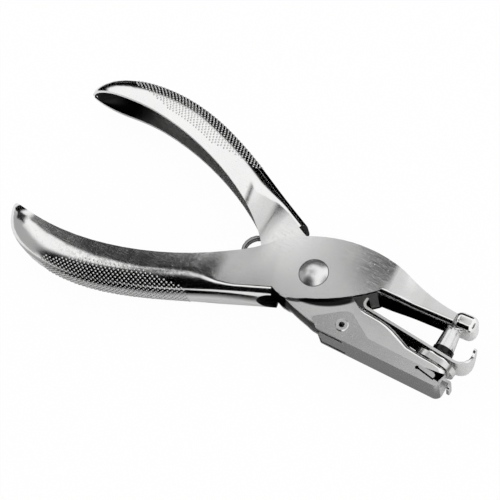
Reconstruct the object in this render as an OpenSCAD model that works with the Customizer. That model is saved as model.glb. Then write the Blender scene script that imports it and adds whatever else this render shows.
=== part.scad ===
// Hand punch for one round hole, in millimetres.
// Two levers pressed from sheet as open channels cross at a rivet. The origin is
// on the rivet's axis, in the plane the punch lies on. X points to the jaws and
// halves the angle between the handles, Z runs along the rivet.

/* [Levers] */
// Thickness of the lever sheet
lever_t = 1.2; // [1.0:0.1:1.4]
// Width across the grips
grip_w = 15; // [14.6:0.2:17]
// Width of the punch lever over its pivot plates
plates_w = 12.6; // [12.2:0.2:13.4]
// Gap on each side between the two levers
side_gap = 0.2; // [0.15:0.05:0.3]
// Distance from the rivet to the end of the punch lever's grip
punch_reach = 107.5; // [104:0.5:112]
// Distance from the rivet to the end of the die lever's grip
die_reach = 111.5; // [106:0.5:116]
// Distance from the middle line to the back of the punch lever's grip
punch_spread = 39.2; // [36:0.2:42]
// Distance from the middle line to the back of the die lever's grip
die_spread = 37.4; // [35:0.2:40]
// Depth of the punch lever's grip from the edge of its walls to its back
punch_grip_depth = 12.2; // [11:0.2:13]
// Depth of the die lever's grip from the edge of its walls to its back
die_grip_depth = 11.4; // [10.4:0.2:12.6]
// How far the rounded shoulders of the grips reach over their backs
grip_r = 5; // [4:0.25:6]
// How far those shoulders reach down the walls
grip_crown = 9; // [6:0.25:10]

/* [Pivot] */
// Diameter of the rivet's shank
rivet_d = 5; // [4.5:0.1:5.5]
// Diameter of the rivet's domed head
rivet_head_d = 8.9; // [8:0.1:10]
// Height of the domed head
rivet_head_h = 1.9; // [1.5:0.1:2.4]
// Running clearance round the shank
pivot_play = 0.05; // [0.03:0.01:0.1]

/* [Punch and die] */
// Distance from the rivet to the pin along X
pin_reach = 44.2; // [43.2:0.1:45]
// Diameter of the hole that is punched
hole_d = 6.35; // [5.6:0.05:6.6]
// Radial relief of the pin above its cutting end
pin_relief = 0.22; // [0.15:0.01:0.3]
// Length of the cutting end
pin_land = 1.4; // [1:0.1:1.8]
// Diameter of the tapered pin where it meets the upper jaw
pin_neck_d = 4.8; // [4.4:0.1:5.6]
// Length of the pin below the upper jaw
pin_len = 7.9; // [7.5:0.1:8.2]
// Radial clearance of the die round the pin
die_play = 0.15; // [0.12:0.01:0.2]
// Thickness of the die plate
die_t = 1.8; // [1.5:0.1:2]
// Length of the die plate
die_len = 13.2; // [12:0.2:13.6]
// Width of the die plate
die_w = 9.2; // [8.8:0.1:9.6]
// Height of the slot that takes the paper
paper_slot = 0.8; // [0.6:0.05:1]

/* [Jaws] */
// Slope of the upper jaw at rest
upper_slope = 4.5; // [4:0.1:5]
// Slope of the lower jaw at rest
lower_slope = 4.3; // [4:0.1:4.8]
// Height of the upper jaw's web above the middle line at the pin
upper_web_y = 5.9; // [5.7:0.05:6.1]
// Depth of the stripper's top below the middle line at the pin
stripper_y = 3.1; // [3:0.05:3.4]
// Width of the upper jaw at its neck
neck_w = 9.2; // [8.8:0.1:10]
// Width of the rounded nose
nose_w = 9.8; // [9.4:0.1:10.4]
// Height of the rounded nose
nose_h = 5.6; // [5:0.1:6.2]
// Radius of the shoulders along the jaws
jaw_r = 1.9; // [1.6:0.1:2.3]

/* [Stripper] */
// Thickness of the stripper sheet
stripper_t = 0.8; // [0.7:0.05:0.9]
// Width of the stripper
stripper_w = 9.6; // [9:0.1:10]
// Clearance of the pin's hole in the stripper
stripper_play = 0.6; // [0.6:0.05:0.8]
// Height of the lip in front of the nose
lip_h = 7.6; // [6.5:0.1:8]
// Width of the lip near its end
lip_w = 7; // [6:0.2:8]
// Height of the curl that stops the paper at the back of the throat
stop_h = 2.4; // [2.2:0.1:2.8]
// Diameter of the stripper rivet's shank
small_rivet_d = 2.4; // [2:0.1:2.8]

/* [Chip tray] */
// Thickness of the tray sheet
tray_t = 0.8; // [0.7:0.05:0.9]
// Gap between the tray and the lower jaw on each side
tray_gap = 0.2; // [0.15:0.05:0.25]
// Distance from the middle line down to the hinge eyelets
eyelet_y = 10.4; // [10:0.1:10.8]
// Distance from the rivet to the hinge eyelets
eyelet_x = 16.5; // [16:0.1:17]
// Diameter of the eyelets' barrels
eyelet_d = 2.8; // [2.4:0.1:3]
// Diameter of the eyelets' rolled rims
eyelet_rim_d = 4.1; // [3.8:0.1:4.6]
// Running clearance round the barrels
eyelet_play = 0.05; // [0.03:0.01:0.1]

/* [Spring] */
// Diameter of the spring wire
wire_d = 1.25; // [1.1:0.05:1.4]
// Mean radius of the coil
coil_r = 4.9; // [4.4:0.1:5.2]
// Distance from the rivet to the coil's middle
coil_x = 22.2; // [21.5:0.1:23]
// Whole turns of the coil besides the part between its legs
coil_turns = 2; // [1:1:2]

/* [Hidden] */
$fn = 48;

mid = grip_w / 2;                            // middle plane of the channels
inner_w = plates_w - 2 * lever_t - 2 * side_gap; // width over the die lever's walls
tray_w = inner_w + 2 * tray_gap + 2 * tray_t;    // width over the tray's walls
cut = 1;                                     // how far a cutter runs past a face
ring_gap = 0.05;                             // gap under a rim that runs on sheet
pin_d = hole_d - 2 * pin_relief;             // above its cutting end
tenon_d = 3.8;                               // riveted end of the pin
tenon_h = 0.8;
boss_d = hole_d + 1.2;                       // boss that holds the die in its web
boss_h = lever_t + 0.3;
arc_steps = 7;                               // chords in a shoulder's quarter turn
bend_steps = 8;                              // chords in a strip's bend
seam = 0.02;                                 // keeps faces of joined sheet from lying in one plane
snug = 0.02;                                 // radial gap round a riveted shank
slit_w = lever_t + tray_gap + 0.15;          // slits beside the tongue, which swings up inside the walls
tongue_back = 10.8;                          // back of the tray floor's tongue
tray_slope = 2.3;                            // slope of the tray's floor
floor_at = [50, -13.4];                      // a point on the outside of that floor

// Heights of the lower jaw's layers at the pin, measured square to its slope
slot_top = -stripper_t;
die_top = slot_top - paper_slot;
web_top = die_top - die_t;
seat_x = -21.5;                              // the stripper's rivet, from the pin

function mix(a, b, t) = a + (b - a) * t;
function ease(a, b, x) = let (t = max(0, min(1, (x - a) / (b - a)))) t * t * (3 - 2 * t);
function curve(p, t) =
  let (s = 1 - t) s * s * s * p[0] + 3 * s * s * t * p[1] + 3 * s * t * t * p[2] + t * t * t * p[3];
function run(p, n) = [for (i = [0:n]) curve(p, i / n)];
function unit(v) = v / norm(v);
function flip(p, side) = [p.x, p.y * side];
function reversed(list) = [for (i = [len(list) - 1:-1:0]) list[i]];
function turned(p, a) = [p.x * cos(a) - p.y * sin(a), p.x * sin(a) + p.y * cos(a)];

// ---- handles, described as the lower one: the upper one is mirrored ----
// Reach, spread, grip depth, back and edge at the root, and how far the two rails
// run straight on from there
punch_handle = [punch_reach, punch_spread, punch_grip_depth,
                [-8, -12.5], [-15.8, 4.8], [-28, -12.2], [-9.5, -14.5]];
die_handle = [die_reach, die_spread, die_grip_depth, [-12, -14.2], [-19.5, 0.5], [-26, -11.3], [-8, -11.5]];
belly_x = -82;                               // deepest place of the grips
tip_len = 14;                                // length over which a grip's end rounds off
root_r = 2.6;                                // shoulders where a handle leaves the pivot
// Distances from the rivet between which the shoulders grow over the back and down
// the wall, and the walls of each handle spread
over_at = [14, 36];
down_at = [21.5, 34];
punch_wide_at = [17, 32];
die_wide_at = [22, 36];

// The back of a handle, root to belly and belly to tip
function belly(h) = [belly_x, -h[1]];
function tip(h) = [-h[0], -h[1] + 12.9];
function back_near(h) = [h[3], h[3] + h[5], belly(h) + [24, 0], belly(h)];
function back_far(h) = [belly(h), belly(h) + [-16, 0], tip(h) + [3.6, -7.6], tip(h)];
// The edge of its walls
function edge_near(h) = let (e = belly(h) + [0, h[2]]) [h[4], h[4] + h[6], e + [27, 2.3], e];
function edge_far(h) = let (e = belly(h) + [0, h[2]], end = tip(h) + [0, 0.7])
  [e, e + [-10, -0.8], end + [9.5, -1.6], end];

// A station of a channel is [back, edge, half width, shoulder over the back, shoulder
// down the wall]. Here they run from the root of a handle to its tip.
function grip_station(b, e, reach, root_half, spread) =
  let (wide = mix(root_half, grip_w / 2, ease(spread[0], spread[1], norm(e))),
       s = min(tip_len, max(0.25, e.x + reach)) / tip_len)
  [b, e, wide * sqrt(1 - (1 - s) * (1 - s)), mix(root_r, grip_r, ease(over_at[0], over_at[1], norm(e))),
   mix(root_r, grip_crown, ease(down_at[0], down_at[1], norm(e)))];
function handle_stations(h, root_half, spread) =
  concat([for (i = [0:13]) let (t = i / 14)
            grip_station(curve(back_near(h), t), curve(edge_near(h), t), h[0], root_half, spread)],
         [for (i = [0:15]) let (t = sin(90 * i / 15))
            grip_station(curve(back_far(h), t), curve(edge_far(h), t), h[0], root_half, spread)]);

// ---- lofted channel ----
// One half of a rounded U from a wall's edge to the middle of the web, of height h
// and half width w, with a shoulder that takes r of the web and l of the wall
function half_section(h, w, r, l) =
  let (k = min(r, 0.8 * w), m = min(l, 0.8 * h))
  concat([[w, 0]],
         [for (i = [0:arc_steps]) let (a = 90 * i / arc_steps)
            [w - k + k * cos(a), h - m + m * sin(a)]]);
function both_halves(half) =
  concat(half, [for (i = [len(half) - 1:-1:0]) [-half[i].x, half[i].y]]);

// The sheet's section at a station: the outside of the U, then its inside back
function section(s, along, t) =
  let (h = norm(s[0] - s[1]), d = unit(s[0] - s[1]),
       skin = t / max(0.2, abs(cross(d, along))),
       deep = max(min(0.4, h / 2), h - skin),
       inside = both_halves(half_section(deep, max(0.3, s[2] - t), max(0.2, s[3] - t), max(0.2, s[4] - t))),
       ring = concat(both_halves(half_section(h, s[2], s[3], s[4])),
                     [for (i = [len(inside) - 1:-1:0]) inside[i]]))
  [for (p = ring) let (q = s[1] + d * p.y) [q.x, q.y, mid + p.x]];

// A pressed channel of sheet t through all its stations
module channel(stations, t) {
  n = len(stations);
  rings = [for (i = [0:n - 1])
    section(stations[i], unit(stations[min(n - 1, i + 1)][0] - stations[max(0, i - 1)][0]), t)];
  m = len(rings[0]);
  last = (n - 1) * m;
  walk = cross(stations[1][1] - stations[0][1], stations[0][0] - stations[0][1]);
  faces = concat(
    [for (j = [0:m / 2 - 2]) each [[j, j + 1, m - 2 - j], [j, m - 2 - j, m - 1 - j]]],
    [for (j = [0:m / 2 - 2])
       each [[last + m - 2 - j, last + j + 1, last + j], [last + m - 1 - j, last + m - 2 - j, last + j]]],
    [for (i = [0:n - 2]) for (j = [0:m - 1]) let (k = (j + 1) % m)
       each [[i * m + j, (i + 1) * m + j, (i + 1) * m + k], [i * m + j, (i + 1) * m + k, i * m + k]]]);
  polyhedron(
    points = [for (ring = rings) each ring],
    faces = walk > 0 ? [for (f = faces) [f[2], f[1], f[0]]] : faces,
    convexity = 8);
}

// The same sheet outline as both walls of a channel of width w
module walls(w, t) {
  for (z = [mid - w / 2, mid + w / 2 - t])
    translate([0, 0, z])
      linear_extrude(t)
        children();
}

// Frames of the jaws: origin at the pin, x along the jaw, y square to it
module on_upper() {
  translate([pin_reach, upper_web_y, mid])
    rotate([0, 0, upper_slope])
      children();
}
tip_at = [pin_reach, upper_web_y] + turned([0, -pin_len], upper_slope);
lower_at = [sqrt(pow(norm(tip_at), 2) - pow(stripper_y - die_top, 2)) - turned([0, die_top], -lower_slope).x,
            -stripper_y];
module on_lower() {
  translate([lower_at.x, lower_at.y, mid])
    rotate([0, 0, -lower_slope])
      children();
}
function lower_point(x, y) = lower_at + turned([x, y], -lower_slope);
function upper_point(x, y) = [pin_reach, upper_web_y] + turned([x, y], upper_slope);

// A round bore square to a jaw, from y0 to y1
module jaw_bore(d, y0, y1) {
  translate([0, y1, 0])
    rotate([90, 0, 0])
      cylinder(d = d, h = y1 - y0);
}

// ---- punch lever: lower handle, pivot plates, upper jaw, nose ----
web_start = upper_point(-24.4, 0);           // back edge of the upper jaw's web
neck = upper_point(-0.6, 0);
jaw_top = [[20, 14.6], [27, 13.4], [33, 10], [neck.x, 9.7]];
punch_stations = handle_stations(punch_handle, plates_w / 2, punch_wide_at);
lap = 1.6;                                   // how far the plates run on inside a channel's walls
notch_at = [-8.3, -9.5];                     // notch in the handle's web, clear of the die lever
notch_d = 9.4;

// A point on a station, at depth in from its edge; and at depth in from its back
function from_edge(s, depth) = s[1] + unit(s[0] - s[1]) * depth;
function from_back(s, depth) = s[0] - unit(s[0] - s[1]) * depth;

module punch_plate() {
  root = punch_stations[0];
  inside = punch_stations[1];
  polygon(concat([from_back(inside, 3.4), from_edge(inside, 0.5)],
                 run([from_edge(root, seam), [-9, 10.8], [1, 14.9], [11, 15.2]], 10),
                 run([[11.5, 15.2], [14, 15.3], [17, 15.1], [20, 14.6 - seam]], 3),
                 [[20 + lap, 13.6], web_start + [lap, 2.6]],
                 run([web_start + [0, seam], [15, -1], [8, -6], [2.2, -8.4]], 6),
                 run([[1.9, -8.6], [-1.5, -10.8], [-5, -12], from_back(root, 2.7)], 5)));
}

module punch_lever() color("gainsboro") {
  outer = plates_w / 2;
  jaw = [for (i = [0:10]) let (t = i / 10, e = curve(jaw_top, t), b = mix(web_start, neck, t),
                               narrow = mix(max(0, t - 0.1), ease(0.1, 0.55, t), 0.7))
           [b, e, mix(outer, neck_w / 2, narrow), jaw_r, jaw_r]];
  difference() {
    union() {
      channel(punch_stations, lever_t);
      walls(plates_w - 2 * seam, lever_t - 2 * seam) punch_plate();
      channel(jaw, lever_t);
      nose();
    }
    translate([notch_at.x, notch_at.y, mid])
      rotate([90, 0, 0])
        cylinder(d = notch_d, h = 2 * notch_d);
    translate([0, 0, -cut])
      cylinder(d = rivet_d + 2 * snug, h = grip_w + 2 * cut);
    on_upper() jaw_bore(tenon_d + 2 * snug, -cut, lever_t + cut);
  }
}

// The jaw's web and walls close in a rounded nose in front of the pin
module nose() {
  r = 2.4;
  length = 6.4;                              // from the pin to the front
  back = -1;
  drop = 0.1;                                // how far it bulges below the web
  on_upper()
    difference() {
      hull()
        for (x = [back + r, length - r], y = [r - drop, nose_h - r], z = [-1, 1])
          translate([x, y, z * (nose_w / 2 - r)])
            sphere(r = r, $fn = 20);
      translate([back - cut, lever_t, -neck_w / 2 + lever_t + seam])
        cube([length - back + cut - 1.8, nose_h, neck_w - 2 * (lever_t + seam)]);
      jaw_bore(tenon_d + 2 * snug, -cut, lever_t + cut);
      jaw_bore(pin_neck_d + 2 * snug, -cut, seam); // seat of the pin's shoulder
    }
}

// ---- die lever: upper handle, inner walls, lower jaw ----
jaw_back = lower_point(-29, -stripper_t);    // where the lower jaw's web begins
seat_end = lower_point(-18.5, -stripper_t);  // end of the stripper's flat seat
ramp_end = lower_point(-7.6, web_top);
web_end = lower_point(2.2, web_top);
jaw_front = [lower_at.x + 4.3, web_end.y - 2.2];
floor_back = [6.3, -13.3];
corner_lift = 1.3;                           // the walls' lower front corner, clear of the tray's bend
floor_front = [jaw_front.x, jaw_low(jaw_front.x)];

die_stations = [for (s = handle_stations(die_handle, inner_w / 2, die_wide_at))
  [flip(s[0], -1), flip(s[1], -1), s[2], s[3], s[4]]];

module die_lever() color("silver") {
  top = concat(run([jaw_back, mix(jaw_back, seat_end, 0.3), mix(jaw_back, seat_end, 0.6), seat_end], 2),
               run([seat_end, seat_end + [4, -0.4], ramp_end + [-4, 1.3], ramp_end], 5),
               run([ramp_end, mix(ramp_end, web_end, 0.3), mix(ramp_end, web_end, 0.6), web_end], 2),
               run([web_end, web_end + [3, -0.2], jaw_front + [0, 1.4], jaw_front], 4));
  n = len(top) - 1;
  jaw = [for (i = [0:n]) if (i == 0 || norm(top[i] - top[i - 1]) > 0.01)
           [top[i], mix([jaw_back.x, jaw_low(jaw_back.x)], floor_front, i / n)
            + [0, corner_lift * ease(web_end.x, jaw_front.x, top[i].x)], inner_w / 2, jaw_r, jaw_r]];
  difference() {
    union() {
      channel(die_stations, lever_t);
      walls(inner_w - 2 * seam, lever_t - 2 * seam) die_plate_outline(jaw[0], jaw[1]);
      channel(jaw, lever_t);
    }
    translate([0, 0, -cut])
      cylinder(d = rivet_d + 2 * pivot_play, h = grip_w + 2 * cut);
    translate([eyelet_x, -eyelet_y, -cut])
      cylinder(d = eyelet_d + 2 * snug, h = grip_w + 2 * cut);
    on_lower() jaw_bore(boss_d + 2 * snug, web_top - lever_t - cut, web_top + cut);
    on_lower()
      translate([seat_x, 0, 0])
        jaw_bore(small_rivet_d + 2 * snug, -stripper_t - lever_t - cut, cut);
  }
}

// Lower edge of the lower jaw's walls, just above the tray's floor
function jaw_low(x) = tray_floor(x) + tray_t + 0.3;

// Walls between the handle's root, the rivet and the lower jaw
module die_plate_outline(jaw_root, jaw_next) {
  root = die_stations[0];
  inside = die_stations[1];
  polygon(concat([from_edge(root, seam), from_edge(inside, 0.5), from_back(inside, 3.4)],
                 run([from_back(root, 2.7), [-8.5, 9.4], [2, 6.8], from_back(jaw_root, seam)], 8),
                 [from_back(jaw_next, jaw_r + 0.3), from_edge(jaw_next, 0.5), from_edge(jaw_root, seam)],
                 run([floor_back, [1.6, -12.2], [-4, -11.6], [-9, -8.6]], 6)));
}

// ---- rivet that carries both levers ----
module pivot_rivet() color("gainsboro") {
  top = mid + plates_w / 2;
  tail = mid - plates_w / 2;
  dome_r = (rivet_head_d * rivet_head_d / 4 + rivet_head_h * rivet_head_h) / (2 * rivet_head_h);
  cylinder(d = rivet_d, h = top);
  cylinder(d = rivet_d + 2.4, h = tail);
  intersection() {
    translate([0, 0, top])
      cylinder(d = rivet_head_d, h = rivet_head_h);
    translate([0, 0, top + rivet_head_h - dome_r])
      sphere(r = dome_r);
  }
}

// ---- wire spring between the handles ----
coil_at = [-coil_x, 0];
leg_t = 0.5;                                 // where the legs bear on the handles' webs
leg_gap = 0.5;
coil_gap = 0.1;
function leg_end(h) = let (b = curve(back_near(h), leg_t), e = curve(edge_near(h), leg_t))
  b + unit(e - b) * (lever_t + wire_d / 2 + leg_gap);
coil_pitch = wire_d + coil_gap;

// Direction from the coil's middle to where a leg leaves it
function leave_angle(p) = atan2((p - coil_at).y, (p - coil_at).x) - acos(coil_r / norm(p - coil_at));

module return_spring() color("dimgray") {
  upper = flip(leg_end(die_handle), -1);
  lower = leg_end(punch_handle);
  a0 = leave_angle(upper);
  turn = a0 + leave_angle(flip(lower, -1)) + 360 * coil_turns;
  rise = coil_pitch * turn / 360;
  steps = ceil(turn / 20);
  coil = [for (i = [0:steps]) let (a = a0 - turn * i / steps)
            [coil_at.x + coil_r * cos(a), coil_at.y + coil_r * sin(a), mid + rise / 2 - rise * i / steps]];
  wire(concat([[upper.x, upper.y, mid + rise / 2]], coil, [[lower.x, lower.y, mid - rise / 2]]));
}

// Round wire along a path that stays near one plane
module wire(path) {
  n = len(path);
  sides = 8;
  pts = [for (i = [0:n - 1])
    let (along = path[min(n - 1, i + 1)] - path[max(0, i - 1)], x = unit(along),
         u = unit(cross([0, 0, 1], x)), v = cross(x, u))
    each [for (j = [0:sides - 1]) let (a = 360 * j / sides)
      path[i] + (u * cos(a) + v * sin(a)) * wire_d / 2]];
  polyhedron(points = pts, convexity = 8, faces = concat(
    [[for (j = [0:sides - 1]) j]],
    [[for (j = [sides - 1:-1:0]) (n - 1) * sides + j]],
    [for (i = [0:n - 2]) for (j = [0:sides - 1]) let (k = (j + 1) % sides)
      each [[i * sides + j, (i + 1) * sides + j, (i + 1) * sides + k],
            [i * sides + j, (i + 1) * sides + k, i * sides + k]]]));
}

// ---- hardened pin riveted in the upper jaw ----
module punch_pin() color("dimgray") on_upper() {
  jaw_bore(hole_d, -pin_len, -pin_len + pin_land);
  rotate([90, 0, 0])
    cylinder(d1 = pin_neck_d, d2 = pin_d, h = pin_len - pin_land + seam);
  jaw_bore(tenon_d, -cut, lever_t + tenon_h);
  jaw_bore(tenon_d + 1.8, lever_t, lever_t + tenon_h);
}

// ---- hardened die plate with a boss through the lower jaw's web ----
module die_plate() color("silver") on_lower() {
  difference() {
    union() {
      translate([0, web_top, 0])
        rotate([-90, 0, 0])
          linear_extrude(die_t)
            stadium(die_len, die_w);
      jaw_bore(boss_d, web_top - boss_h, web_top + 0.1);
    }
    jaw_bore(hole_d + 2 * die_play, web_top - boss_h - cut, die_top + cut);
  }
}

module stadium(l, w) {
  for (side = [-1, 1])
    translate([side * (l - w) / 2, 0])
      circle(d = w);
  square([l - w, w], center = true);
}

// ---- stripper: curled paper stop, flat strip and upturned lip ----
strip_back = -25;                            // back of the strip from the pin
strip_front = 5.05;                          // where the lip begins to rise
lip_r = 4;                                   // outer radius of the lip's bend
stop_r = 1.2;                                // inner radius of the paper stop's curl
lip_shoulder = 1;                            // height at which the lip begins to narrow
lip_lean = 18;                               // lean of the lip back over the nose
module stripper_plate() color("silver") on_lower() {
  difference() {
    across_flat(stripper_w)
      polygon(concat([for (p = bend(lip_r - stripper_t, stripper_t, lip_h, lip_lean))
                        [strip_front + p.x, p.y]],
                     [for (p = reversed(bend(stop_r, stripper_t, stop_h, 0))) [strip_back - p.x, p.y]]));
    jaw_bore(hole_d + 2 * stripper_play, -stripper_t - cut, cut);
    translate([seat_x, 0, 0]) jaw_bore(small_rivet_d, -stripper_t - cut, cut);
    lip_corners();
  }
}

module across_flat(w) {
  translate([0, 0, -w / 2])
    linear_extrude(w)
      children();
}

// Edges of a strip of thickness t that turns up from the x axis with inner radius r
// and then stands up to height h, leaning back by lean: outside, end, inside
function bend_edge(r, edge_r, lean, tail) =
  concat([for (i = [0:bend_steps]) let (a = -90 + (90 + lean) * i / bend_steps)
            [edge_r * cos(a), r + edge_r * sin(a)]],
         [[edge_r * cos(lean) - tail * sin(lean), r + edge_r * sin(lean) + tail * cos(lean)]]);
function bend(r, t, h, lean) =
  let (tail = (h - r - (r + t) * sin(lean)) / cos(lean))
  concat(bend_edge(r, r + t, lean, tail), reversed(bend_edge(r, r, lean, tail)));

// What is cut from the lip so that it narrows upwards and ends round
module lip_corners() {
  r = lip_w / 2;
  translate([strip_front + lip_r + cut, 0, 0])
    rotate([0, -90, 0])
      linear_extrude(lip_r + cut)
        difference() {
          translate([-stripper_w, lip_shoulder]) square([2 * stripper_w, lip_h]);
          polygon([[-stripper_w / 2, lip_shoulder], [-r, lip_h - r], [r, lip_h - r],
                   [stripper_w / 2, lip_shoulder]]);
          translate([0, lip_h - r]) circle(r = r);
        }
}

module stripper_rivet() color("gainsboro") on_lower() translate([seat_x, 0, 0]) {
  under = -stripper_t - lever_t;
  jaw_bore(small_rivet_d, under - 0.6, 0.6);
  jaw_bore(small_rivet_d + 1.8, 0, 0.6);
  jaw_bore(small_rivet_d + 1.4, under - 0.6, under);
}

// ---- chip tray under the lower jaw ----
tray_end = jaw_front.x + 0.25 + tray_t;      // outside of the front wall
front_h = 4.4;                               // height of the front wall
front_r = 2.2;                               // outer radius of the bend below it
tray_long = tray_end;                        // longer than the tray, for cutters
// Edge of its side walls: from the eyelet, then from the lower front corner
ear = [[-9.6, -2], [-3.1, 3.2], [-1.6, 4.4], [0.4, 5.5], [2.1, 4.1], [8.9, 0.1]];
toe = [[-4.1, 3.5], [-2.5, 3.5], [-2.1, 2.6], [-2.7, 1.7]];
toe_h = 1.4;
wall_back = tongue_back + 0.6;
slit_past = 2.4;                             // how far the slits run past the eyelets
catch_at = [42, -11];                        // spring catches in the side walls
catch_hole_d = 1.1;
catch_slot = 0.5;
catch_l = 5.8;
catch_slope = 9;
finger_w = 5.4;                              // finger lip bent forward from it
finger_l = 2.3;
finger_h = 1.8;
finger_bend = 0.3;                           // inner radius of its bend
finger_r = 0.9;                              // radius of its lower corners
function tray_floor(x) = floor_at.y + (x - floor_at.x) * tan(tray_slope);

// Frame of the tray: origin at its lower front corner, x forward along the floor
module on_tray() {
  translate([tray_end, tray_floor(tray_end), mid])
    rotate([0, 0, tray_slope])
      children();
}

module chip_tray() color("darkgray") {
  difference() {
    union() {
      walls(tray_w, tray_t)
        intersection() {
          tray_side();
          translate([tray_end, tray_floor(tray_end)])
            rotate(tray_slope)
              tray_outside(seam);
        }
      on_tray() {
        across_flat(tray_w - 2 * seam)
          difference() {
            tray_outside(0);
            translate([-front_r, front_r]) circle(r = front_r - tray_t);
            translate([-tray_long, tray_t]) square([tray_long - front_r, tray_long]);
            translate([-tray_long, front_r]) square([tray_long - tray_t, tray_long]);
            translate([-tray_long, -cut]) square([tray_long + tongue_back - tray_end, tray_long]);
            translate([-tray_long, front_h]) square([tray_long + cut, tray_long]);
          }
        finger_lip();
      }
    }
    // slits that free the tongue
    for (side = [-1, 1])
      translate([tongue_back - cut, tray_floor(tongue_back) - cut,
                 mid + side * (tray_w - 2 * tray_t - slit_w) / 2 - slit_w / 2])
        cube([eyelet_x + slit_past + cut - tongue_back, 2 * cut + tray_t, slit_w]);
    spring_catches();
    translate([eyelet_x, -eyelet_y, -cut])
      cylinder(d = eyelet_d + 2 * eyelet_play, h = grip_w + 2 * cut);
  }
}

// A small hole with a slot from it in each side wall frees a tongue that clicks in
module spring_catches() {
  translate([catch_at.x, catch_at.y, -cut]) {
    cylinder(d = catch_hole_d, h = grip_w + 2 * cut);
    rotate([0, 0, -catch_slope])
      translate([0, -catch_slot / 2, 0])
        cube([catch_l, catch_slot, grip_w + 2 * cut]);
  }
}

// All that lies inside the tray's outside, seen from the side, less an inset
module tray_outside(inset) {
  translate([-tray_long, inset]) square([tray_long - front_r, tray_long]);
  translate([-tray_long, front_r]) square([tray_long - inset, tray_long]);
  translate([-front_r, front_r]) circle(r = front_r - inset);
}

// Lip for a fingertip, turned forward and then down
module finger_lip() {
  difference() {
    across_flat(finger_w)
      translate([finger_l - finger_bend - tray_t, front_h - tray_t])
        mirror([0, 1])
          polygon(concat([for (y = [0, -tray_t]) [-finger_l + finger_bend + tray_t / 2, y]],
                         bend(finger_bend, tray_t, finger_h, 0)));
    for (side = [-1, 1])
      translate([finger_l + cut, front_h - tray_t - finger_h + finger_r, side * (finger_w / 2 - finger_r)])
        rotate([0, -90, 0])
          linear_extrude(tray_t + 2 * cut)
            difference() {
              translate([side > 0 ? 0 : -2 * finger_r, -2 * finger_r]) square(2 * finger_r);
              circle(r = finger_r);
            }
  }
}

// Side wall with its ear
module tray_side() {
  eye = [eyelet_x, -eyelet_y];
  corner = [tray_end, tray_floor(tray_end)];
  polygon(concat([[wall_back, tray_floor(wall_back) - cut], eye + ear[0]],
                 run([for (i = [1:4]) eye + ear[i]], 6),
                 [eye + ear[5]],
                 run([for (p = toe) corner + p], 5),
                 [corner + [0, toe_h], corner - [0, cut]]));
}

// ---- tubular eyelets, the tray's hinge ----
module eyelet(side) {
  wall_in = inner_w / 2 - lever_t;
  rim_at = tray_w / 2 + ring_gap;
  bore = eyelet_d - 1;
  translate([eyelet_x, -eyelet_y, mid])
    mirror([0, 0, side < 0 ? 1 : 0])
      difference() {
        union() {
          translate([0, 0, wall_in - 0.5]) cylinder(d = eyelet_d, h = rim_at - wall_in + 0.9);
          translate([0, 0, rim_at]) cylinder(d1 = eyelet_rim_d, d2 = eyelet_rim_d - 0.6, h = 0.4);
          translate([0, 0, wall_in - 0.5]) cylinder(d = eyelet_rim_d - 0.4, h = 0.5);
        }
        translate([0, 0, wall_in - cut]) cylinder(d = bore, h = rim_at - wall_in + 2 * cut);
      }
}
module tray_eyelet_near() color("gainsboro") eyelet(1);
module tray_eyelet_far() color("gainsboro") eyelet(-1);

punch_lever();
die_lever();
pivot_rivet();
return_spring();
punch_pin();
die_plate();
stripper_plate();
stripper_rivet();
chip_tray();
tray_eyelet_near();
tray_eyelet_far();
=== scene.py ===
# A plier-style hand punch in plated sheet steel, lying on its side.
import math
import bpy
from mathutils import Matrix, Vector
from mathutils.bvhtree import BVHTree


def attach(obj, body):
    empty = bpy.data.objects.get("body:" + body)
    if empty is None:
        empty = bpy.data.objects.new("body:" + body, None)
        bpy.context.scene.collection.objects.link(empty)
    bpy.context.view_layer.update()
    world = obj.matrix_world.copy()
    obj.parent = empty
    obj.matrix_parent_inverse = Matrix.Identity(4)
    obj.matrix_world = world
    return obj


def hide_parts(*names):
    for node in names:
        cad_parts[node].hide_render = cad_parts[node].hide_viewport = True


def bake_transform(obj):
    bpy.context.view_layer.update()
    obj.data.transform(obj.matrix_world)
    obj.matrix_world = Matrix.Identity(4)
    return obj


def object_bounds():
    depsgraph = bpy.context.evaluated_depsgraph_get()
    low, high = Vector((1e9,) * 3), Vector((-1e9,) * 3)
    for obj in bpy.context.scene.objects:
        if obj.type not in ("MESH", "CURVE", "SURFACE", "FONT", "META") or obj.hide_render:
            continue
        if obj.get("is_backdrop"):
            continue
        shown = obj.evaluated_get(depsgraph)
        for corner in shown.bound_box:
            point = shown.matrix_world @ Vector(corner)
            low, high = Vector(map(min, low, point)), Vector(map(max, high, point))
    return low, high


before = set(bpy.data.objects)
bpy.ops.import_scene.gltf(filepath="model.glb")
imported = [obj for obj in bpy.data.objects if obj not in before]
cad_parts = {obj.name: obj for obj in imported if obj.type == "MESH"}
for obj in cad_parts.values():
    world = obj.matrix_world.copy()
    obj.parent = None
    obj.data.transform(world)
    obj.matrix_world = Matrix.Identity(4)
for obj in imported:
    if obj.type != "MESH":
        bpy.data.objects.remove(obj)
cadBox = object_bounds()
mm = 0.001
print("frame loaded")

# the camera comes first; it stands at "at", in millimetres
cameraSettings = {
    "at": (102.6, -92.3, 279.8),
    "right": (0.8112, 0.5516, -0.1945),
    "up": (-0.4213, 0.7819, 0.4598),
    "forward": (-0.4057, 0.2911, -0.8665),
    "lens": 70.56,
    "sensor": 36,
    "clip": (0.01, 20),
}


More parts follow.
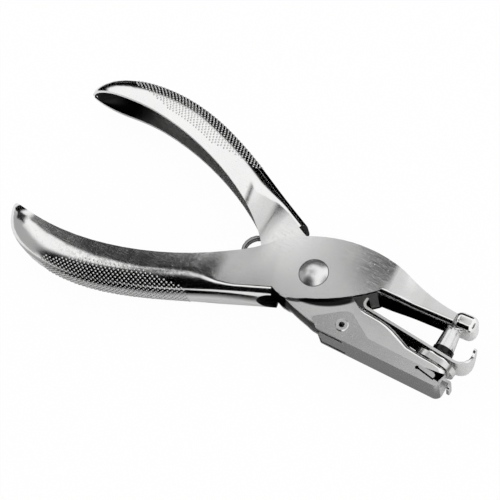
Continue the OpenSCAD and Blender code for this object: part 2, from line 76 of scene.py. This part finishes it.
def placeCamera(settings):
    lens = bpy.data.cameras.new("viewCamera")
    lens.lens = settings["lens"]
    lens.sensor_width = settings["sensor"]
    lens.clip_start, lens.clip_end = settings["clip"]
    camera = bpy.data.objects.new("viewCamera", lens)
    bpy.context.scene.collection.objects.link(camera)
    right, up, forward = (Vector(settings[way]) for way in ("right", "up", "forward"))
    turn = Matrix((right, up, -forward)).transposed().to_4x4()
    camera.matrix_world = Matrix.Translation(Vector(settings["at"]) * mm) @ turn
    bpy.context.scene.camera = camera


placeCamera(cameraSettings)
print("camera placed")


class Wire:  # one output socket; arithmetic on it adds Math nodes
    def __init__(self, finish, socket):
        self.finish = finish
        self.socket = socket

    def __add__(self, other):
        return self.finish.maths("ADD", self, other)

    def __radd__(self, other):
        return self.finish.maths("ADD", other, self)

    def __sub__(self, other):
        return self.finish.maths("SUBTRACT", self, other)

    def __rsub__(self, other):
        return self.finish.maths("SUBTRACT", other, self)

    def __mul__(self, other):
        return self.finish.maths("MULTIPLY", self, other)

    def __rmul__(self, other):
        return self.finish.maths("MULTIPLY", other, self)

    def __abs__(self):
        return self.finish.maths("ABSOLUTE", self)

    def root(self):
        return self.finish.maths("SQRT", self)

    def larger(self, other):
        return self.finish.maths("MAXIMUM", self, other)

    def step(self, low, high):  # 0 below low, 1 above high
        return self.finish.node("ShaderNodeMapRange", {"interpolation_type": "SMOOTHSTEP"},
                                {"Value": self, "From Min": low, "From Max": high})


class Finish:  # the node tree of a material or of the world; every node comes from its node method
    def __init__(self, owner):
        self.owner = owner
        owner.use_nodes = True
        self.tree = owner.node_tree
        self.tree.nodes.clear()

    def node(self, kind, settings=None, sockets=None, result=0):
        made = self.tree.nodes.new(kind)
        for key, value in (settings or {}).items():
            setattr(made, key, value)
        for key, value in (sockets or {}).items():
            if isinstance(value, Wire):
                self.tree.links.new(value.socket, made.inputs[key])
            else:
                made.inputs[key].default_value = value
        return Wire(self, made.outputs[result]) if made.outputs else None

    def maths(self, operation, *values):
        return self.node("ShaderNodeMath", {"operation": operation}, dict(enumerate(values)))

    def place(self, scale=(1, 1, 1)):  # object coordinates in millimetres, times scale
        here = self.node("ShaderNodeTexCoord", result="Object")
        return self.node("ShaderNodeMapping", {"vector_type": "POINT"},
                         {"Vector": here, "Scale": tuple(s / mm for s in scale)})

    def split(self, vector):
        parts = self.node("ShaderNodeSeparateXYZ", None, {"Vector": vector})
        return [Wire(self, output) for output in parts.socket.node.outputs]

    def noise(self, vector, size, detail, rough=0.5):
        return self.node("ShaderNodeTexNoise", {"noise_dimensions": "3D"},
                         {"Vector": vector, "Scale": size, "Detail": detail, "Roughness": rough})

    def mix(self, factor, first, second):
        first, second = ((*c, 1) if isinstance(c, tuple) else c for c in (first, second))
        return self.node("ShaderNodeMix", {"data_type": "RGBA"}, {0: factor, 6: first, 7: second}, result=2)

    def seam(self, colour, seam, spot):  # painted shadow: the colour made dark over the part of a disc between two lengths
        x, y = spot[:2]
        across = x - seam["centre"][0]
        along = y - seam["centre"][1]
        away = (across * across + along * along).root()
        disc = 1 - away.step(seam["radius"], seam["radius"] + seam["soft"])
        band = disc * x.step(*seam["start"]) * (1 - x.step(*seam["end"]))
        return self.mix(band, colour, seam["colour"])

    def mottledDarkReflection(self, colour, mottledDarkReflection, even, spot):  # painted dark reflection: dark clouds in the colour of a handle's flat walls
        x, _, z = spot
        clouds = self.noise(even, mottledDarkReflection["size"], detail=3, rough=0.7).step(*mottledDarkReflection["cover"])
        aside = abs(z - mottledDarkReflection["middle"]).step(*mottledDarkReflection["aside"])
        where = x.step(*mottledDarkReflection["start"]) * (1 - x.step(*mottledDarkReflection["end"])) * aside
        return self.mix(clouds * where * mottledDarkReflection["depth"], colour, mottledDarkReflection["colour"])


def metalFinish(name, look):
    finish = Finish(bpy.data.materials.new(name))
    even = finish.place()
    spot = finish.split(even)  # x, y and z in millimetres
    cloud = finish.noise(even, look["cloudSize"], detail=3)
    grain = finish.noise(even, look["grainSize"], detail=2, rough=0.6)
    drawn = finish.noise(finish.place(look["drawScale"]), 1, detail=3, rough=0.65)
    lines = drawn.step(*look["lineCover"])
    specks = finish.noise(even, look["speckSize"], detail=1).step(*look["speckCover"])
    shade = (cloud.step(*look["shadeCover"]) * (1 - look["grainShare"])
             + grain.step(*look["shadeCover"]) * look["grainShare"])
    colour = finish.mix(shade, look["dark"], look["light"])
    colour = finish.mix(specks * look["speckDepth"], colour, look["speckColour"])
    # painted shade: the inside turns black toward the handles' tips
    if "paintedTipShade" in look:
        colour = finish.mix(1 - spot[0].step(*look["paintedTipShade"]["end"]), colour, look["paintedTipShade"]["colour"])
    # painted shadows: dark discs laid into the colour
    for seam in look.get("paintedShadows", []):
        colour = finish.seam(colour, seam, spot)
    # painted dark reflection in clouds on the flat walls
    if "mottledDarkReflection" in look:
        colour = finish.mottledDarkReflection(colour, look["mottledDarkReflection"], even, spot)
    rough = (look["rough"] + cloud * look["cloudRough"] + grain * look["grainRough"]
             + lines * look["lineRough"] + specks * look["speckRough"])
    height = grain * look["grainBump"] + drawn * look["lineBump"] - specks * look["speckBump"]
    bump = finish.node("ShaderNodeBump", None,
                       {"Strength": look["bump"], "Distance": look["bumpDepth"] * mm, "Height": height})
    shader = finish.node("ShaderNodeBsdfPrincipled", None,
                         {"Base Color": colour, "Metallic": 1.0, "Roughness": rough, "Normal": bump})
    finish.node("ShaderNodeOutputMaterial", None, {"Surface": shader})
    return finish.owner


def neutral(level):
    return (level, level, level)


# sizes of noise are in patches per millimetre, places and widths in millimetres
leverLook = {
    "light": (0.94, 0.94, 0.93), "dark": neutral(0.86), "shadeCover": (0.3, 0.7),
    "cloudSize": 0.1, "grainSize": 3.2, "grainShare": 0.5,
    "drawScale": (0.25, 3.0, 3.0), "lineCover": (0.42, 0.72),
    "speckSize": 1.4, "speckCover": (0.66, 0.76), "speckDepth": 0.12, "speckColour": (0.5, 0.49, 0.48),
    "rough": 0.07, "cloudRough": 0.05, "grainRough": 0.05, "lineRough": 0.05, "speckRough": 0.12,
    "grainBump": 0.6, "lineBump": 0.3, "speckBump": 0.2, "bump": 0.12, "bumpDepth": 0.02,
}
punchLeverLook = dict(
    leverLook, bump=0.3,
    # painted shadow: a dark disc round the pivot rivet's head
    paintedShadows=[{"centre": (0, 0), "radius": 4.55, "soft": 0.2, "start": (-9, -8), "end": (8, 9),
            "colour": neutral(0.03)}],
    # painted dark reflection: dark clouds on the grip's flat walls
    mottledDarkReflection={"size": 1.1, "cover": (0.4, 0.62), "start": (-88, -62), "end": (-38, -26), "middle": 7.5,
            "aside": (4.6, 6.4), "depth": 0.5, "colour": neutral(0.22)})
dieLeverLook = dict(
    leverLook,
    # painted shadow: the die lever's wall goes dark just under the punch lever's plates
    paintedShadows=[{"centre": (-1.42, 12.37), "radius": 21.8, "soft": 0.7, "start": (-6, 1), "end": (14, 18),
            "colour": neutral(0.02)}])
# a dull, thinner plate inside the channels, made darker still by painted shade
insideShadedLook = dict(
    leverLook, light=(0.6, 0.6, 0.59), dark=neutral(0.44), rough=0.3, grainShare=0.7,
    # painted shade: black deep inside the handles' tips
    paintedTipShade={"end": (-98, -88), "colour": neutral(0.02)},
    # painted shade: two dark spots inside the channels near the pivot
    paintedShadows=[{"centre": (-12, 12.9), "radius": 2.4, "soft": 0.6, "start": (-15, -14.8), "end": (-9, -8),
            "colour": neutral(0.02)},
           {"centre": (-11, -11), "radius": 4.6, "soft": 1.0, "start": (-17, -15.5), "end": (-6, -5),
            "colour": neutral(0.02)}])
stripperLook = dict(leverLook, cloudSize=0.2, drawScale=(0.4, 4.0, 4.0), rough=0.12)
trayLook = dict(
    leverLook, light=neutral(0.76), dark=neutral(0.62), rough=0.17, drawScale=(0.2, 5.0, 5.0),
    grainShare=0.7)
rivetLook = dict(
    leverLook, light=(0.93, 0.93, 0.92), dark=neutral(0.86), rough=0.3, drawScale=(2.0, 2.0, 2.0),
    cloudSize=0.4, bump=0.1)
pinLook = dict(
    leverLook, light=neutral(0.88), dark=(0.72, 0.72, 0.73), rough=0.14, drawScale=(0.5, 9.0, 0.5),
    lineBump=0.8,
    # painted shade: a dark ring round the pin's cutting end
    paintedShadows=[{"centre": (45.8, -22), "radius": 21.6, "soft": 0.15, "start": (30, 31), "end": (58, 59),
            "colour": neutral(0.03)}])
dieLook = dict(
    leverLook, light=(0.82, 0.82, 0.81), dark=neutral(0.68), rough=0.2, drawScale=(6.0, 0.5, 0.7),
    lineBump=0.8)
wireLook = dict(
    leverLook, light=neutral(0.42), dark=(0.25, 0.25, 0.26), rough=0.22, drawScale=(1.0, 1.0, 1.0))
eyeletLook = dict(rivetLook, light=(0.9, 0.9, 0.89), dark=neutral(0.78), rough=0.16)

punchLeverMetal = metalFinish("bright nickel plate, punch side", punchLeverLook)
dieLeverMetal = metalFinish("bright nickel plate, die side", dieLeverLook)
leverMetal = metalFinish("bright nickel plate", leverLook)
insideShadedMetal = metalFinish("dull plate with painted shade inside the channels", insideShadedLook)
stripperMetal = metalFinish("bright plated spring sheet", stripperLook)
trayMetal = metalFinish("satin plated sheet", trayLook)
rivetMetal = metalFinish("bright rivet", rivetLook)
pinMetal = metalFinish("ground punch steel", pinLook)
dieMetal = metalFinish("ground die steel", dieLook)
wireMetal = metalFinish("drawn spring wire", wireLook)
eyeletMetal = metalFinish("rolled eyelet", eyeletLook)
print("finishes made")

# how a copy of a node is cleaned, its edges broken and its faces smoothed: millimetres and degrees
edgeSettings = {"merge": 0.002, "flat": 0.4, "segments": 2, "bevelAngle": 38, "smoothAngle": 32,
                "normalWeight": 60}


def onlySelect(piece):
    bpy.ops.object.select_all(action="DESELECT")
    piece.select_set(True)
    bpy.context.view_layer.objects.active = piece


def applyAll(piece):
    onlySelect(piece)
    for modifier in list(piece.modifiers):
        bpy.ops.object.modifier_apply(modifier=modifier.name)


def setFinish(piece, material):
    piece.data.materials.clear()
    piece.data.materials.append(material)


def copyOfNode(nodeName, pieceName, settings):  # its triangles merged, and joined where they lie flat
    piece = bpy.data.objects.new(pieceName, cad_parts[nodeName].data.copy())
    bpy.context.scene.collection.objects.link(piece)
    onlySelect(piece)
    bpy.ops.mesh.customdata_custom_splitnormals_clear()
    bpy.ops.object.mode_set(mode="EDIT")
    bpy.ops.mesh.select_all(action="SELECT")
    bpy.ops.mesh.remove_doubles(threshold=settings["merge"] * mm)
    bpy.ops.mesh.mark_sharp(clear=True)
    bpy.ops.mesh.dissolve_limited(angle_limit=math.radians(settings["flat"]))
    bpy.ops.object.mode_set(mode="OBJECT")
    return piece


def softenEdges(piece, width, settings):  # breaks the sheared edges, then smooths between them
    bevel = piece.modifiers.new("brokenEdges", "BEVEL")
    bevel.width = width * mm
    bevel.segments = settings["segments"]
    bevel.limit_method = "ANGLE"
    bevel.angle_limit = math.radians(settings["bevelAngle"])
    bevel.use_clamp_overlap = True
    applyAll(piece)
    onlySelect(piece)
    bpy.ops.object.shade_smooth_by_angle(angle=math.radians(settings["smoothAngle"]))
    normals = piece.modifiers.new("faceNormals", "WEIGHTED_NORMAL")
    normals.keep_sharp = True
    normals.weight = settings["normalWeight"]
    applyAll(piece)


# a level face is inside if it looks at the middle plane; a wall's face, if a ray that leans by one of
# the leans meets the sheet again
insideSettings = {"middle": 7.5, "lift": 0.05, "levelFrom": 0.35, "leans": (-4.0, -1.4, 1.4, 4.0)}


def finishInside(piece, material, reach, settings):  # duller metal, darkened further by painted shade, where the sheet faces itself
    piece.data.materials.append(material)
    tree = BVHTree.FromObject(piece, bpy.context.evaluated_depsgraph_get())
    for face in piece.data.polygons:
        normal = face.normal
        start = face.center + normal * settings["lift"] * mm
        if abs(normal.z) > settings["levelFrom"]:
            inner = (face.center.z - settings["middle"] * mm) * normal.z < 0
        else:
            ways = [(normal + Vector((0, 0, lean))).normalized() for lean in settings["leans"]]
            inner = any(tree.ray_cast(start, way, reach * mm)[0] is not None for way in ways)
        if inner:
            face.material_index = 1


# "edge" is the width of the broken edge, "hollow" the reach of the rays that find the inside
sheetPieces = {
    "punchLeverSheet": {"node": "punch_lever", "body": "punch_side", "slot": "lever_plate",
                        "metal": punchLeverMetal, "edge": 0.24, "hollow": 14},
    "dieLeverSheet": {"node": "die_lever", "body": "die_side", "slot": "lever_plate",
                      "metal": dieLeverMetal, "edge": 0.24, "hollow": 14},
    "stripperSheet": {"node": "stripper_plate", "body": "die_side", "slot": "stripper_sheet",
                      "metal": stripperMetal, "edge": 0.1},
    "chipTraySheet": {"node": "chip_tray", "body": "tray", "slot": "tray_sheet",
                      "metal": trayMetal, "edge": 0.1},
}

sheets = {}
for pieceName, sheet in sheetPieces.items():
    piece = copyOfNode(sheet["node"], pieceName, edgeSettings)
    softenEdges(piece, sheet["edge"], edgeSettings)
    setFinish(piece, sheet["metal"])
    if "hollow" in sheet:
        finishInside(piece, insideShadedMetal, sheet["hollow"], insideSettings)
    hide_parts(sheet["node"])
    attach(piece, sheet["body"])
    sheets[pieceName] = piece
    print(pieceName, len(piece.data.polygons), "faces")

# turned and stamped pieces keep their shape
turnedPieces = {
    "pivot_rivet": rivetMetal, "stripper_rivet": rivetMetal, "punch_pin": pinMetal, "die_plate": dieMetal,
    "tray_eyelet_near": eyeletMetal, "tray_eyelet_far": eyeletMetal,
}
for nodeName, metal in turnedPieces.items():
    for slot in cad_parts[nodeName].material_slots:
        slot.material = metal
print("turned pieces finished")

# the return spring, smoothed; the two points, in metres, between which it bends as the handles close are
# read but not used to bend it
springSettings = {"closesFrom": (-0.022, -0.012, 0.0075), "closesTo": (-0.022, 0.012, 0.0075),
                  "smoothAngle": 60}
spring = copyOfNode("return_spring", "springWire", edgeSettings)
bpy.ops.object.shade_smooth_by_angle(angle=math.radians(springSettings["smoothAngle"]))
setFinish(spring, wireMetal)
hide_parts("return_spring")
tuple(springSettings["closesFrom"])
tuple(springSettings["closesTo"])
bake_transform(spring)
print("spring made")

# pressed dots of the grips, in millimetres and degrees
dotSettings = {
    "pitch": 1.6, "row": 0.82,              # spacing along the handle, and half the spacing across it
    "radius": 0.36, "segments": 7, "rings": 6,
    "height": 0.22, "sunk": 0.12,           # of a dot above the sheet and below it
    "mid": 7.5,                             # height of the handles' middle plane
    "outside": 80,                          # rays at the back start this far from the pivot's line
    "walk": 0.1, "slopeSpan": 0.8,          # step along the back, and half the span that gives its slope
    "rays": 181, "sweep": 95, "reach": 40,  # fan of rays at the skin: how many, half its angle, its size
    "innerStep": 8, "skinWithin": 14,       # its centre inside the back, and the farthest skin from there
    "narrows": ((0.55, 1.2), (0.5, 1.5)),   # share of the zone's depth at each end, and how it grows
}
gripZones = {
    "punchGripDots": {"sheet": "punchLeverSheet", "body": "punch_side", "side": -1,
                      "from": -83.0, "to": -33.5, "deep": 11.4},
    "dieGripDots": {"sheet": "dieLeverSheet", "body": "die_side", "side": 1,
                    "from": -97.0, "to": -36.0, "deep": 14.5},
}


def backOfHandle(tree, x, side, settings):  # the back's point at this x, looking from outside
    start = Vector((x, side * settings["outside"] * mm, settings["mid"] * mm))
    hit = tree.ray_cast(start, Vector((0, -side, 0)))[0]
    return Vector((hit.x, hit.y))


def rowsAlong(tree, zone, settings):  # each row: the back's point, the way inwards, how far it runs down
    side = zone["side"]
    span = settings["slopeSpan"] * mm
    first, last = settings["narrows"]
    x = zone["from"] * mm
    previous = backOfHandle(tree, x, side, settings)
    gone, target = 0.0, 0.0
    while x < zone["to"] * mm:
        x += settings["walk"] * mm
        back = backOfHandle(tree, x, side, settings)
        gone += (back - previous).length
        previous = back
        if gone < target:
            continue
        target += settings["pitch"] / 2 * mm
        ahead = (backOfHandle(tree, x + span, side, settings)
                 - backOfHandle(tree, x - span, side, settings)).normalized()
        share = (x / mm - zone["from"]) / (zone["to"] - zone["from"])
        fill = min(1, first[0] + first[1] * share, last[0] + last[1] * (1 - share))
        yield back, Vector((-ahead.y, ahead.x)) * -side, zone["deep"] * fill * mm


def sectionOf(tree, back, inward, settings):  # outer skin from one wall over the back to the other
    inward = inward.to_3d()
    centre = Vector((back.x, back.y, settings["mid"] * mm)) + inward * settings["innerStep"] * mm
    skin = []
    for k in range(settings["rays"]):
        turn = math.radians(-settings["sweep"] + 2 * settings["sweep"] * k / (settings["rays"] - 1))
        away = -inward * math.cos(turn) + Vector((0, 0, 1)) * math.sin(turn)
        hit, normal, *_ = tree.ray_cast(centre + away * settings["reach"] * mm, -away)
        if hit is not None and (hit - centre).length < settings["skinWithin"] * mm:
            skin.append((hit, normal))
    return skin


def pointsAlong(skin, offset, step, limit):  # points and normals, measured from the middle of the back
    middle = len(skin) // 2
    found = []
    for way in (1, -1):
        target = offset if way > 0 else step - offset
        gone = 0.0
        k = middle
        while 0 <= k + way < len(skin) and gone < limit:
            here, hereNormal = skin[k]
            there, thereNormal = skin[k + way]
            length = (there - here).length
            while gone <= target <= gone + length and target < limit:
                share = (target - gone) / max(length, 1e-9)
                found.append((here.lerp(there, share), hereNormal.lerp(thereNormal, share).normalized()))
                target += step
            gone += length
            k += way
    return found


def dotShape(settings):  # one dot, modelled once
    bpy.ops.object.select_all(action="DESELECT")
    bpy.ops.mesh.primitive_uv_sphere_add(segments=settings["segments"], ring_count=settings["rings"],
                                         radius=1)
    dot = bpy.context.object
    points = []
    for vertex in dot.data.vertices:
        x, y, z = vertex.co
        deep = settings["height"] if z > 0 else settings["sunk"]
        points.append(Vector((x * settings["radius"], y * settings["radius"], z * deep)) * mm)
    faces = [tuple(face.vertices) for face in dot.data.polygons]
    bpy.data.objects.remove(dot)
    return points, faces


def buildDots(name, zone, settings):
    tree = BVHTree.FromObject(sheets[zone["sheet"]], bpy.context.evaluated_depsgraph_get())
    shape, shapeFaces = dotShape(settings)
    row = settings["row"] * mm
    points, faces = [], []
    for index, (back, inward, limit) in enumerate(rowsAlong(tree, zone, settings)):
        skin = sectionOf(tree, back, inward, settings)
        for place, normal in pointsAlong(skin, row if index % 2 else 0, 2 * row, limit):
            turn = normal.to_track_quat("Z", "Y").to_matrix()
            base = len(points)
            points.extend(place + turn @ p for p in shape)
            faces.extend(tuple(base + i for i in face) for face in shapeFaces)
    mesh = bpy.data.meshes.new(name)
    mesh.from_pydata(points, [], faces)
    dots = bpy.data.objects.new(name, mesh)
    bpy.context.scene.collection.objects.link(dots)
    onlySelect(dots)
    bpy.ops.object.shade_smooth()
    setFinish(dots, leverMetal)
    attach(dots, zone["body"])
    print(name, len(faces) // len(shapeFaces), "dots,", len(faces), "faces")


for name, zone in gripZones.items():
    buildDots(name, zone, dotSettings)

ambientStrength = 0.9


def buildWorld(strength):  # plain light on the object, and white wherever the world is seen or mirrored
    world = bpy.data.worlds.new("softRoom")
    bpy.context.scene.world = world
    finish = Finish(world)
    camera, glossy, through = (finish.node("ShaderNodeLightPath", result="Is " + ray + " Ray")
                               for ray in ("Camera", "Glossy", "Transmission"))
    seen = camera.larger(glossy).larger(through)
    room = finish.node("ShaderNodeBackground", None, {"Color": (1, 1, 1, 1), "Strength": strength})
    white = finish.node("ShaderNodeBackground", None, {"Color": (1, 1, 1, 1), "Strength": 1.0})
    mixed = finish.node("ShaderNodeMixShader", None, {0: seen, 1: room, 2: white})
    finish.node("ShaderNodeOutputWorld", None, {"Surface": mixed})


# the floor lies just under the punch; "glow" is the share of plain white that the camera sees on it
floorSettings = {"size": 6, "height": -0.0002, "grey": 0.75, "glow": 0.97}


def buildFloor(settings):
    bpy.ops.object.select_all(action="DESELECT")
    bpy.ops.mesh.primitive_plane_add(size=settings["size"], location=(0, 0, settings["height"]))
    floor = bpy.context.object
    floor.name = "floor"
    finish = Finish(bpy.data.materials.new("pale floor"))
    matt = finish.node("ShaderNodeBsdfDiffuse", None, {"Color": (*neutral(settings["grey"]), 1)})
    glow = finish.node("ShaderNodeEmission", None, {"Color": (1, 1, 1, 1), "Strength": 1.0})
    seen = finish.node("ShaderNodeLightPath", result="Is Camera Ray") * settings["glow"]
    mixed = finish.node("ShaderNodeMixShader", None, {0: seen, 1: matt, 2: glow})
    finish.node("ShaderNodeOutputMaterial", None, {"Surface": mixed})
    setFinish(floor, finish.owner)
    floor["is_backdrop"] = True


# a dome round the punch, white but for grey panels that the plating mirrors: azimuths and heights in
# degrees, the widths of the soft edges, and how far both side edges lean for each degree of height
roomSettings = {
    "radius": 0.9, "segments": 360, "rings": 180,
    "wrapMargin": 60,  # past this many degrees before a panel, an azimuth counts one turn on
    "panels": [
        {"azimuth": (147.5, 177.5), "height": (42, 81), "soft": (4, 5), "lean": (-0.88, 0.36), "grey": 0.02},
        {"azimuth": (216, 300), "height": (-8, 68), "soft": (9, 5), "lean": (-0.45, 0), "grey": 0.0},
        {"azimuth": (178, 300), "height": (62, 70), "soft": (6, 3), "lean": (0, 0), "grey": 0.03},
        {"azimuth": (176, 232), "height": (-8, 46), "soft": (6, 9), "lean": (0, 0), "grey": 0.4},
        {"azimuth": (80, 123), "height": (-8, 34), "soft": (4, 5), "lean": (0, 0), "grey": 0.0},
        {"azimuth": (118, 180), "height": (-8, 30), "soft": (4, 8), "lean": (0, 0), "grey": 0.0},
        {"azimuth": (112.5, 136.8), "height": (57, 84), "soft": (1.6, 2), "lean": (0, 0), "grey": 0.55},
        {"azimuth": (112.5, 152), "height": (60.3, 84), "soft": (9, 1), "lean": (0, 0), "grey": 0.55},
        {"azimuth": (143.5, 160), "height": (58.2, 84), "soft": (2, 1.5), "lean": (0, 0), "grey": 0.42},
        {"azimuth": (60, 114), "height": (64.5, 84), "soft": (3, 2), "lean": (0, 0), "grey": 0.68},
        {"azimuth": (118.5, 131.8), "height": (60.2, 67.4), "soft": (2.2, 1.3), "lean": (-0.9, -0.4),
         "grey": 0.0},
        {"azimuth": (168, 194), "height": (16, 45), "soft": (5, 5), "lean": (0, 0), "grey": 0.02},
        {"azimuth": (-25, 35), "height": (5, 36), "soft": (10, 8), "lean": (0, 0), "grey": 0.1},
        {"azimuth": (-200, 200), "height": (82, 100), "soft": (5, 5), "lean": (0, 0), "grey": 0.5},
    ],
}


def smooth(share):  # 0 to 1, easing in and out
    share = max(0.0, min(1.0, share))
    return share * share * (3 - 2 * share)


def panelShade(panel, azimuth, height):  # 1 outside the panel, its grey inside
    inside = 1.0
    above = height - sum(panel["height"]) / 2
    left, right = (edge + lean * above for edge, lean in zip(panel["azimuth"], panel["lean"]))
    low, high = panel["height"]
    sideSoft, endSoft = panel["soft"]
    for gone, soft in ((azimuth - left, sideSoft), (right - azimuth, sideSoft),
                       (height - low, endSoft), (high - height, endSoft)):
        inside *= smooth(gone / soft)
    return 1 - inside * (1 - panel["grey"])


def roomShade(point, settings):  # the darkest of the panels at this point of the dome
    height = math.degrees(math.asin(max(-1.0, min(1.0, point.z / settings["radius"]))))
    azimuth = math.degrees(math.atan2(point.y, point.x))
    shade = 1.0
    for panel in settings["panels"]:
        wraps = azimuth < panel["azimuth"][0] - settings["wrapMargin"]
        shade = min(shade, panelShade(panel, azimuth + 360 if wraps else azimuth, height))
    return shade


def paintedGlow(name):  # reads the shades that are stored on the mesh
    finish = Finish(bpy.data.materials.new(name))
    shade = finish.node("ShaderNodeAttribute", {"attribute_name": "shade"})
    glow = finish.node("ShaderNodeEmission", None, {"Color": shade, "Strength": 1.0})
    finish.node("ShaderNodeOutputMaterial", None, {"Surface": glow})
    return finish.owner


def paintMirrored(piece, shades, material):  # glows by its painted shades, seen in reflections alone
    piece.data.attributes.new("shade", "FLOAT", "POINT").data.foreach_set("value", shades)
    setFinish(piece, material)
    for ray in ("camera", "diffuse", "shadow", "transmission", "volume_scatter"):
        setattr(piece, "visible_" + ray, False)
    piece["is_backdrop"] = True


def buildRoom(settings, material):
    bpy.ops.object.select_all(action="DESELECT")
    bpy.ops.mesh.primitive_uv_sphere_add(segments=settings["segments"], ring_count=settings["rings"],
                                         radius=settings["radius"])
    dome = bpy.context.object
    dome.name = "roomDome"
    shades = [roomShade(vertex.co, settings) for vertex in dome.data.vertices]
    paintMirrored(dome, shades, material)


# dark cards just above the floor, in millimetres: the points of the near edge, the way to the far edge,
# the soft edge's width and the grey, for which "greys" gives other values at single points of that edge
cardSettings = {
    "height": -0.1, "floorSeen": 0.7,
    "cards": [
        {"name": "cardBack", "edge": ((22, 10), (-12, 15.5), (-34, 27), (-483, 143.5)),
         "deep": (97, 388), "soft": 2, "grey": 0.0},
        {"name": "cardFront", "edge": ((-108, -30), (-94, -39), (-78, -42.4), (-66, -40.4), (-55, -37.4),
                                       (-39, -30.6), (-24, -23.4), (-12, -16.5)),
         "deep": (-100, -400), "soft": 2.5, "grey": 0.0, "greys": {0: 0.5, 1: 0.35}},
        {"name": "cardTray", "edge": ((2, -13.2), (56, -11.4)), "deep": (-12, -14), "soft": 0.6,
         "grey": 0.22},
        {"name": "cardJaws", "edge": ((14, -11), (42, -11)), "deep": (0, 24), "soft": 2, "grey": 0.0},
    ],
}


def buildFloorCard(card, settings, material):  # three rows: near edge, end of the soft edge, far edge
    bpy.ops.object.select_all(action="DESELECT")
    spans = len(card["edge"]) - 1
    bpy.ops.mesh.primitive_grid_add(x_subdivisions=spans, y_subdivisions=2, size=1)
    piece = bpy.context.object
    piece.name = card["name"]
    deep = Vector((*card["deep"], 0))
    depths = (0, card["soft"] / deep.length, 1)
    shades = []
    for vertex in piece.data.vertices:
        column = round((vertex.co.x + 0.5) * spans)
        row = round((vertex.co.y + 0.5) * 2)
        grey = card.get("greys", {}).get(column, card["grey"])
        shades.append(grey if row else settings["floorSeen"])
        vertex.co = (Vector((*card["edge"][column], settings["height"])) + deep * depths[row]) * mm
    paintMirrored(piece, shades, material)


lamps = [
    {"at": (-0.55, 0.45, 0.8), "size": (0.5, 0.5), "power": 2.2},
    {"at": (0.7, 0.3, 0.6), "size": (0.4, 0.4), "power": 1.2},
]


def buildLamp(lamp, index):  # a soft lamp that looks at the origin
    light = bpy.data.lights.new("softLamp" + str(index), "AREA")
    light.shape = "RECTANGLE"
    light.size, light.size_y = lamp["size"]
    light.energy = lamp["power"]
    piece = bpy.data.objects.new(light.name, light)
    bpy.context.scene.collection.objects.link(piece)
    turn = (-Vector(lamp["at"])).to_track_quat("-Z", "Y").to_matrix().to_4x4()
    piece.matrix_world = Matrix.Translation(lamp["at"]) @ turn
    piece.visible_glossy = False


buildWorld(ambientStrength)
buildFloor(floorSettings)
mirroredGlow = paintedGlow("mirrored room")
buildRoom(roomSettings, mirroredGlow)
for card in cardSettings["cards"]:
    buildFloorCard(card, cardSettings, mirroredGlow)
for index, lamp in enumerate(lamps):
    buildLamp(lamp, index)
bpy.context.scene.view_settings.view_transform = "Standard"
print("studio set")

boxes = {"cad": cadBox, "visual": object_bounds()}
{key: [list(corner) for corner in box] for key, box in boxes.items()}
